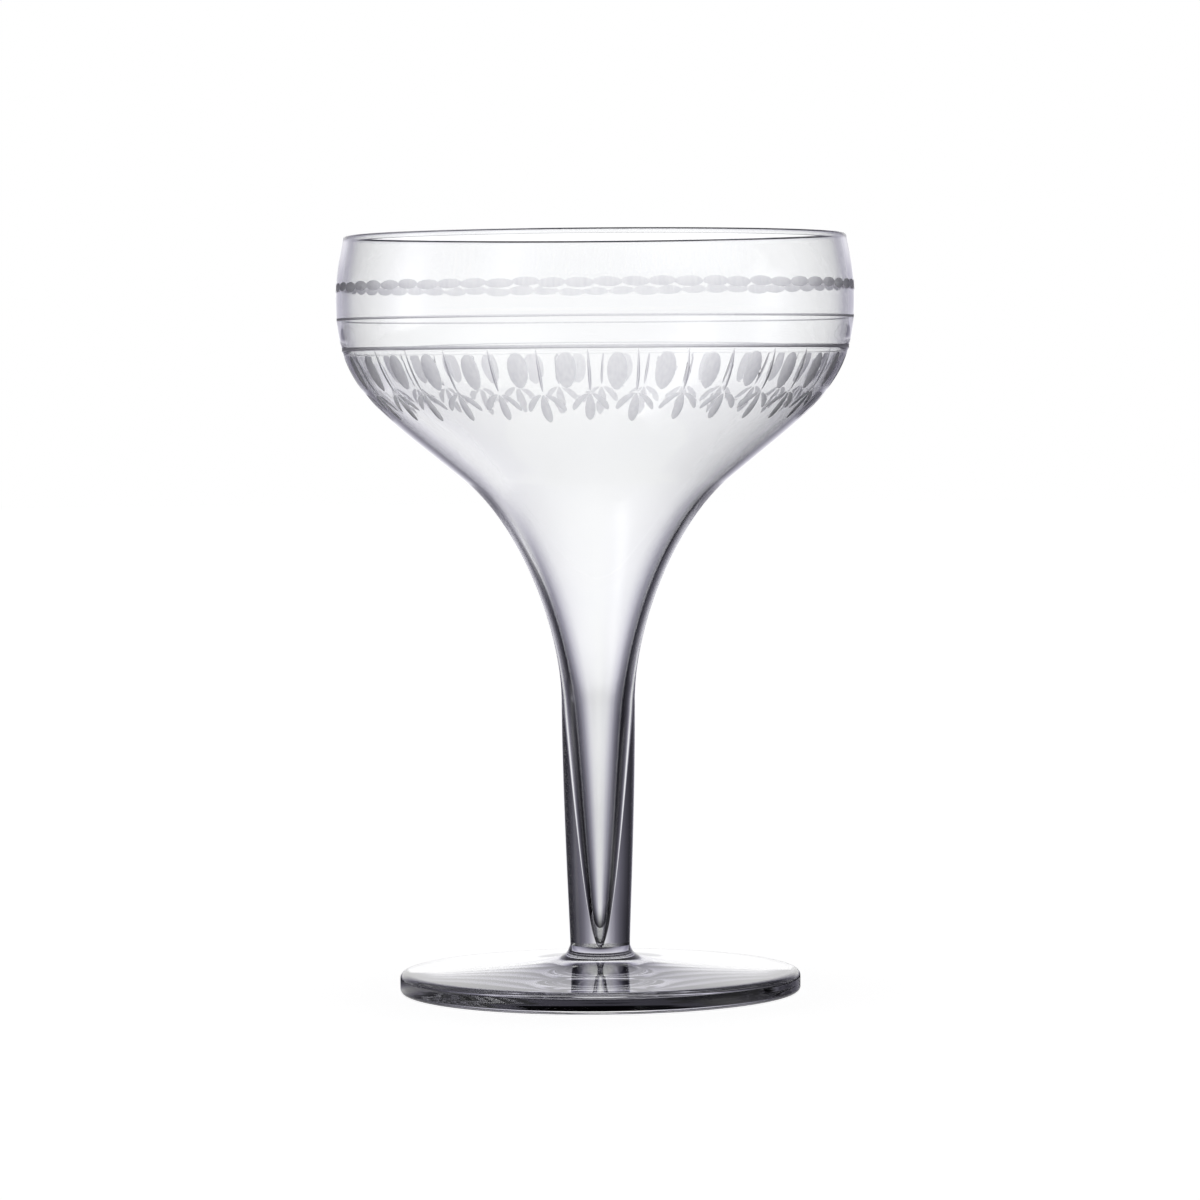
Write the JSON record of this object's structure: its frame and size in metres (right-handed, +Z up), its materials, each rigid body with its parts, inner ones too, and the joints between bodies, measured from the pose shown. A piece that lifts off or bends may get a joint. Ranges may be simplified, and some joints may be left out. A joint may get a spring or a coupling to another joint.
{
  "type": "coupe glass",
  "caption": "Hollow-stem coupe glass: thin wheel-cut bowl, stem with an air space that narrows to a point, and round foot.",
  "frame": {"origin": "middle of the flat ring that the foot rests on, at the bottom of the glass", "axes": "+Z up along the axis of the glass, from the foot to the rim; +X to the right and +Y away in the picture"},
  "size_m": [0.1012, 0.1012, 0.148],
  "materials": {
    "clear_glass": "gloss"
  },
  "bodies": {
    "root": {"bowl": "clear_glass", "hollow_stem": "clear_glass", "stem_gather": "clear_glass", "foot": "clear_glass"}
  },
  "joints": []
}
